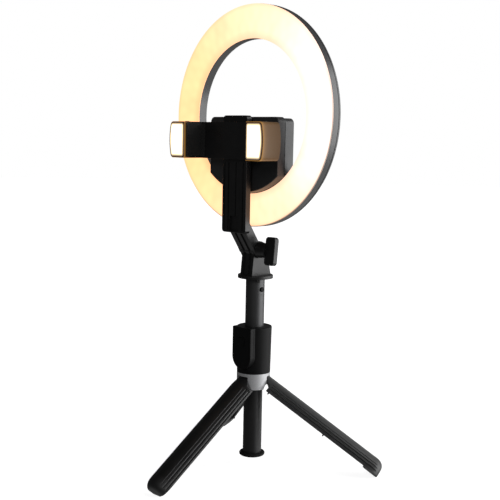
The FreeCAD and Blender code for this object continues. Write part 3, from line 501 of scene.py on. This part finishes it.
def battery_wrap():
    """Blue shrink film with fine wrinkles."""
    s = Shader("battery_wrap", Roughness=0.28)
    wrinkles = s.noise(1.0, 3.0, 0.6, s.stretched((60.0, 60.0, 420.0)))
    s.set("Base Color", s.mix(wrinkles, (0.03, 0.06, 0.13, 1.0), (0.05, 0.1, 0.2, 1.0)))
    s.set("Normal", s.bump(wrinkles, 0.4, 0.00012))
    return s.material


def rubber(name, tone):
    """Soft black rubber: matt, slightly dusty, with a coarse tooth."""
    s = Shader(name, Specular_IOR_Level=0.35)
    dust = s.noise(90.0, 4.0, 0.6)
    s.set("Base Color", s.mix(dust, grey(tone * 0.8), grey(tone * 1.5)))
    s.set("Roughness", s.range(dust, 0.3, 0.7, 0.72, 0.9))
    s.set("Normal", s.bump(s.noise(1500.0, 4.0, 0.6), 0.5, 0.00006))
    return s.material


LEG_PLASTIC = moulded("leg_plastic", 0.008, 0.42, grain=0.3, specular=0.85)
HUB_SILVER = brushed("hub_silver", 0.59, 0.42, metallic=0.35, direction=(900.0, 900.0, 900.0), depth=0.12)
PIN_STEEL = brushed("pin_steel", 0.5, 0.34)
SCREW_STEEL = brushed("screw_steel", 0.09, 0.38)
COLUMN_BLACK = moulded("column_black", 0.02, 0.4, grain=0.2, specular=0.6)
TUBE_GUNMETAL = brushed("tube_gunmetal", 0.08, 0.42, metallic=0.75)
BUTTON_GREY = moulded("button_grey", 0.02, 0.45)
LOCK_BLACK = moulded("lock_black", 0.006, 0.6, specular=0.15)
HANDLE_PLASTIC = moulded("handle_plastic", 0.0065, 0.46, grain=0.25, specular=0.13)
HEAD_PLASTIC = moulded("head_plastic", 0.01, 0.4, grain=0.3)
CLAMP_PLASTIC = moulded("clamp_plastic", 0.01, 0.36, grain=0.25)
RING_PLASTIC = moulded("ring_plastic", 0.034, 0.42, grain=0.25, specular=0.5)
RING_SATIN = moulded("ring_satin", 0.03, 0.36, grain=0.2, specular=0.8)
FOOT_RUBBER = moulded("foot_rubber", 0.009, 0.52, grain=0.5, grain_size=0.5, specular=0.85)
COLUMN_CAP = rubber("column_cap", 0.005)
PAD_RUBBER = rubber("pad_rubber", 0.014)
CELL_STEEL = brushed("cell_steel", 0.62, 0.3)
SMOKED_SHELL = smoked_shell()
RING_GLOW = ring_glow()
JAW_GLOW = jaw_glow()
LED_PHOSPHOR = led_phosphor()
CIRCUIT_BOARD = circuit_board()
BATTERY_WRAP = battery_wrap()


# ---------------------------------------------------------------- ring
def make_ring():
    """The housing is a channel with a groove round its rim, and the opal diffuser closes it."""
    wall, back_wall, lip, back_r = 1.4, 1.8, 0.35, 1.7
    groove, groove_slope, groove_floor = 0.4, 0.15, 0.35
    rim = RING_FRONT_Y + 0.8
    seam = RING_FRONT_Y + 7.4
    seam_end = seam + 2 * groove_slope + groove_floor
    outline = rounded(
        [(RING_R, rim), (RING_R, seam), (RING_R - groove, seam + groove_slope),
         (RING_R - groove, seam + groove_slope + groove_floor), (RING_R, seam_end), (RING_R, RING_BACK_Y),
         (RING_INNER_R, RING_BACK_Y), (RING_INNER_R, rim), (RING_INNER_R + wall, rim),
         (RING_INNER_R + wall, RING_BACK_Y - back_wall), (RING_R - wall, RING_BACK_Y - back_wall),
         (RING_R - wall, rim)],
        [lip, 0.1, 0.05, 0.05, 0.1, back_r, back_r, lip, lip, 0, 0, lip], 4)
    housing = lathe("ring_housing_finished", outline, "Y", (0, 0, RING_Z), 180)
    settle(housing, "ring_housing", RING_SATIN)

    gap, play, crown, steps = 0.12, 0.06, 0.4, 18
    inner, outer = RING_INNER_R + gap, RING_R - gap
    middle, half = (inner + outer) / 2, (outer - inner) / 2
    front = [(middle + half * u, RING_FRONT_Y + 0.1 - crown * (1 - abs(u) ** 4))
             for u in [-1 + 2 * k / steps for k in range(steps + 1)]]
    plug_in, plug_out = RING_INNER_R + wall + play, RING_R - wall - play
    shelf, plug_end = rim - 0.03, RING_FRONT_Y + 1.8
    outline = front + [(outer, shelf), (plug_out, shelf), (plug_out, plug_end),
                       (plug_in, plug_end), (plug_in, shelf), (inner, shelf)]
    diffuser = lathe("ring_diffuser_finished", outline, "Y", (0, 0, RING_Z), 180)
    settle(diffuser, "ring_diffuser", RING_GLOW)
    dress("ring_led_board", CIRCUIT_BOARD)
    dress("ring_leds", LED_PHOSPHOR)


def make_control_box():
    """The box in the ring's opening: its two covers, socket, buttons and screws."""
    settle(from_cad("box_front", 0.5, 3), "box_front", RING_PLASTIC)
    settle(from_cad("box_rear", 0.35, 3), "box_rear", RING_PLASTIC)
    settle(from_cad("charge_socket", 0.12), "charge_socket", PIN_STEEL)
    for name in ("mode", "power", "dimmer"):
        node = "button_" + name
        settle(from_cad(node, 0.15), node, BUTTON_GREY)
    top = RING_BACK_Y - 0.1
    tip, seat = top - 17.3, top - 1.38
    screws = [screw(x, z, tip, seat, top, 1.2, 2.2) for x, z in BOX_SCREWS]
    settle(joined("box_screws_finished", screws), "box_screws", SCREW_STEEL)
    dress("battery", BATTERY_WRAP)
    dress("control_board", CIRCUIT_BOARD)


# ---------------------------------------------------------------- phone clamp
def make_clamp():
    """The plates and pivot, and the two jaws as mirrored twins."""
    settle(from_cad("clamp_front", 0.4, 3), "clamp_front", CLAMP_PLASTIC)
    settle(from_cad("clamp_back", 0.4, 3), "clamp_back", CLAMP_PLASTIC)
    settle(from_cad("clamp_pivot", 0.2), "clamp_pivot", PIN_STEEL)
    dress("jaw_pinion", PIN_STEEL)
    for side, sign in (("left", -1), ("right", 1)):
        prefix = "jaw_" + side
        settle(from_cad(prefix + "_shell", 0.45, 3), prefix + "_shell", SMOKED_SHELL)
        make_lens(prefix, sign)
        make_pad(prefix, sign)
        dress(prefix + "_led_board", CIRCUIT_BOARD)
        dress(prefix + "_cell", BATTERY_WRAP)
        settle(from_cad(prefix + "_button", 0.2), prefix + "_button", BUTTON_GREY)


def bowed_outline(inset):
    """The right jaw's outline moved in by the inset: flat towards the phone and bowed outwards."""
    steps, corner_steps = 8, 6
    x0, x1 = LENS_LOW[0] + inset, LENS_HIGH[0] - inset
    half = (LENS_HIGH[2] - LENS_LOW[2]) / 2 - inset
    radius = ((LENS_HIGH[2] - LENS_LOW[2]) ** 2 / 4 + JAW_BOW ** 2) / (2 * JAW_BOW)
    bow = []
    for k in range(steps + 1):
        z = half * (2 * k / steps - 1)
        bow.append((x1 - radius + math.sqrt(radius ** 2 - z ** 2), CLAMP_Z + z))
    outer, inner = max(JAW_CORNER_R - inset, 0.7), max(1.0 - inset, 0.4)
    radii = [inner, outer] + [0] * (steps - 1) + [outer, inner]
    return rounded([(x0, CLAMP_Z - half)] + bow + [(x0, CLAMP_Z + half)], radii, corner_steps)


def make_lens(prefix, sign):
    """A crowned opal window: a flange over the shell's rim and a plug inside it."""
    face, plug = LENS_LOW[1], 1.05
    shelf = face + 0.58
    profile = [(plug, LENS_HIGH[1]), (plug, shelf), (0.0, shelf), (0.0, face + 0.3), (0.12, face + 0.12),
               (0.45, face), (1.4, face - 0.12), (3.6, face - 0.25), (7.0, face - 0.3)]
    rings = [[(sign * u, y, v) for u, v in bowed_outline(inset)] for inset, y in profile]
    settle(solid_from_rings(prefix + "_lens_finished", rings), prefix + "_lens", JAW_GLOW)


def make_pad(prefix, sign):
    """The rubber grip: a slanting tread on the face towards the phone and on the lip over the plate."""
    y0, y1 = PAD_LOW[1], PAD_HIGH[1]
    root, lip_x = PAD_HIGH[0], PAD_LOW[0]
    face, lip_y = root - PAD_THICKNESS, y1 - PAD_THICKNESS
    pitch, depth, step = 1.7, 0.4, 0.36

    def tread(along, z):
        """How far the ribs stand back at a point of the grip."""
        return depth * abs(2 * (((along + z) / pitch) % 1.0) - 1)

    def outline(z, share):
        """The section at one height, with its ribs faded in by the share."""
        points = [(root, y0)]
        count = round((lip_y - y0) / step)
        for k in range(count + 1):
            y = y0 + (lip_y - y0) * k / count
            ends = min(1.0, k / 2)
            points.append((face + depth - share * ends * (depth - tread(y, z)), y))
        count = round((face - lip_x) / step)
        for k in range(1, count + 1):
            x = face - (face - lip_x) * k / count
            ends = min(1.0, (count - k) / 2)
            points.append((x, lip_y + depth - share * ends * (depth - tread(lip_y + face - x, z))))
        return points + [(lip_x, y1), (root, y1)]

    z0, z1 = PAD_LOW[2], PAD_HIGH[2]
    count = round((z1 - z0) / step)
    rings = []
    for k in range(count + 1):
        z = z0 + (z1 - z0) * k / count
        share = min(1.0, k / 2, (count - k) / 2)
        rings.append([(sign * x, y, z) for x, y in outline(z, share)])
    pad = solid_from_rings(prefix + "_pad_finished", rings, sharp=50.0)
    settle(pad, prefix + "_pad", PAD_RUBBER)


# ---------------------------------------------------------------- arm and tilt head
def make_arm():
    """The ribbed rail and the forked link, the screws that hold them together and the ring's hinge pin."""
    settle(from_cad("arm_rail", 0.3), "arm_rail", HEAD_PLASTIC)
    settle(from_cad("arm_link", 0.35), "arm_link", HEAD_PLASTIC)
    low, high = box_mm("arm_screws")
    middle, tip, seat, top = (low[2] + high[2]) / 2, low[1], high[1] - 1.58, high[1]
    screws = [screw(x, middle, tip, seat, top, 1.48, 2.5) for x in (-ARM_SCREW_X, ARM_SCREW_X)]
    settle(joined("arm_screws_finished", screws), "arm_screws", SCREW_STEEL)
    dress("ring_hinge_pin", PIN_STEEL)


def make_head():
    """The flanged tilt head with its wing knob, stud and nut."""
    settle(from_cad("head_base", 0.35, 3), "head_base", HEAD_PLASTIC)
    settle(from_cad("tilt_nut", 0.2), "tilt_nut", PIN_STEEL)
    settle(from_cad("tilt_knob", 0.4, 3), "tilt_knob", HEAD_PLASTIC)
    dress("tilt_stud", PIN_STEEL)


# ---------------------------------------------------------------- mast and handle
def make_mast():
    """The outer tube with a small round mark below its lock button, the sections and the grip."""
    mark_z = (LOCK_LOW[2] + LOCK_HIGH[2]) / 2 - 5.2
    mark = rod("mark", 0.9, (TUBE_R - 0.5, 0, mark_z), (TUBE_R + 0.12, 0, mark_z), 0.1)
    tube = joined("mast_tube_finished", [from_cad("mast_tube", 0.12), mark])
    settle(tube, "mast_tube", TUBE_GUNMETAL)
    for number in (2, 3, 4, 5):
        dress("mast_section_%d" % number, TUBE_GUNMETAL)
    settle(from_cad("mast_button", 0.1), "mast_button", LOCK_BLACK)
    settle(from_cad("handle_shell", 0.3, 3), "handle_shell", HANDLE_PLASTIC)
    settle(from_cad("remote_front", 0.3, 3), "remote_front", HANDLE_PLASTIC)
    settle(from_cad("remote_back", 0.2), "remote_back", HANDLE_PLASTIC)
    settle(from_cad("remote_button", 0.15), "remote_button", HANDLE_PLASTIC)
    dress("remote_board", CIRCUIT_BOARD)
    dress("remote_cell", CELL_STEEL)


# ---------------------------------------------------------------- tripod
def make_tripod():
    """The hub, the centre column and three legs with rubber feet."""
    settle(from_cad("leg_hub", 0.25), "leg_hub", HUB_SILVER)
    dress("leg_pins", PIN_STEEL)
    settle(from_cad("centre_column", 0.12), "centre_column", COLUMN_BLACK)
    settle(from_cad("column_foot", 0.25), "column_foot", COLUMN_CAP)
    for name in ("front", "right", "left"):
        leg = from_cad("leg_" + name, 0.16)
        settle(leg, "leg_" + name, LEG_PLASTIC)
        foot = from_cad("leg_foot_" + name, 0.5)
        settle(foot, "leg_foot_" + name, FOOT_RUBBER)


# ---------------------------------------------------------------- stage, lights and camera
CAMERA_TARGET = Vector((0.0, 0.0, 0.2))
CAMERA_AZIMUTH, CAMERA_ELEVATION, CAMERA_ROLL = 45.22, 7.56, 1.17
CAMERA_DISTANCE = 0.9154
CAMERA_LENS = 68.4
CAMERA_SHIFT = (-0.0114, 0.0265)
ROOM_BACK = (0.55, 0.83, 0.0)


def make_camera():
    """The camera stands on a sphere round its target and is rolled a little."""
    azimuth, elevation = math.radians(CAMERA_AZIMUTH), math.radians(CAMERA_ELEVATION)
    back = Vector((math.sin(azimuth) * math.cos(elevation), -math.cos(azimuth) * math.cos(elevation),
                   math.sin(elevation)))
    data = bpy.data.cameras.new("camera")
    data.lens = CAMERA_LENS
    data.shift_x, data.shift_y = CAMERA_SHIFT
    data.clip_start, data.clip_end = 0.05, 50.0
    camera = bpy.data.objects.new("camera", data)
    bpy.context.scene.collection.objects.link(camera)
    camera.location = CAMERA_TARGET + back * CAMERA_DISTANCE
    camera.rotation_mode = "QUATERNION"
    turn = (-back).to_track_quat("-Z", "Y")
    roll = Matrix.Rotation(math.radians(CAMERA_ROLL), 3, back).to_quaternion()
    camera.rotation_quaternion = roll @ turn
    bpy.context.scene.camera = camera


def make_floor():
    """A wide pale disc that fades into the white backdrop."""
    floor_radius, steps = 6.0, 64
    bm = bmesh.new()
    rim = []
    for k in range(steps):
        a = 2 * math.pi * k / steps
        rim.append(bm.verts.new((floor_radius * math.cos(a), floor_radius * math.sin(a), 0.0)))
    bm.faces.new(rim)
    floor = link_mesh("floor", bm)
    s = Shader("floor", Roughness=0.9, Emission_Color=(1.0, 1.0, 1.0, 1.0))
    s.set("Base Color", s.mix(s.noise(3.0), grey(0.78), grey(0.82)))
    reach = s.add("ShaderNodeVectorMath", {0: s.coordinates}, operation="LENGTH").outputs["Value"]
    s.set("Emission Strength", s.range(reach, 0.2, 0.9, 0.86, 1.05))
    floor.data.materials.append(s.material)
    floor.visible_diffuse = False
    floor.visible_glossy = False


def make_backdrop():
    """The camera sees plain white; the object is lit by a room bright behind it and dim in front."""
    world = bpy.data.worlds.new("backdrop")
    bpy.context.scene.world = world
    world.use_nodes = True
    tree = world.node_tree
    tree.nodes.clear()
    white = (1.0, 1.0, 1.0, 1.0)

    def smooth(value, a, b, low, high):
        values = {"Value": value, "From Min": a, "From Max": b, "To Min": low, "To Max": high}
        return add_node(tree, "ShaderNodeMapRange", values, interpolation_type="SMOOTHSTEP").outputs[0]

    def combine(operation, a, b):
        return add_node(tree, "ShaderNodeMath", {0: a, 1: b}, operation=operation).outputs[0]

    direction = tree.nodes.new("ShaderNodeTexCoord").outputs["Generated"]
    height = add_node(tree, "ShaderNodeSeparateXYZ", {"Vector": direction}).outputs["Z"]
    towards = add_node(tree, "ShaderNodeVectorMath", {0: direction, 1: ROOM_BACK}, operation="DOT_PRODUCT")
    behind = smooth(towards.outputs["Value"], 0.0, 0.75, 0.045, 0.6)
    wall = combine("MULTIPLY", behind, smooth(height, 0.3, 0.75, 1.0, 0.3))
    room = combine("ADD", wall, smooth(height, -0.2, -0.75, 0.0, 0.22))
    lit = add_node(tree, "ShaderNodeBackground", {"Color": white, "Strength": room})
    seen = add_node(tree, "ShaderNodeBackground", {"Color": white, "Strength": 1.0})
    by_camera = tree.nodes.new("ShaderNodeLightPath").outputs["Is Camera Ray"]
    sides = {0: by_camera, 1: lit.outputs[0], 2: seen.outputs[0]}
    choose = add_node(tree, "ShaderNodeMixShader", sides)
    add_node(tree, "ShaderNodeOutputWorld", {"Surface": choose.outputs[0]})


def area_light(name, location, size, power):
    """A soft rectangular lamp aimed at the middle of the object."""
    data = bpy.data.lights.new(name, "AREA")
    data.shape = "RECTANGLE"
    data.size, data.size_y = size
    data.energy = power
    lamp = bpy.data.objects.new(name, data)
    bpy.context.scene.collection.objects.link(lamp)
    lamp.location = location
    lamp.visible_camera = False
    aim = CAMERA_TARGET - Vector(location)
    lamp.rotation_mode = "QUATERNION"
    lamp.rotation_quaternion = aim.to_track_quat("-Z", "Y")


def make_lights():
    """A key light from behind on the right and a weak fill from the front."""
    area_light("key", (1.07, 0.9, 0.45), (1.6, 1.5), 21.0)
    area_light("fill", (0.8, -1.2, 0.9), (0.6, 0.6), 4.0)


bpy.context.scene.view_settings.view_transform = "Standard"
make_camera()
make_floor()
make_backdrop()
make_lights()
make_ring()
make_control_box()
make_clamp()
make_arm()
make_head()
make_mast()
make_tripod()
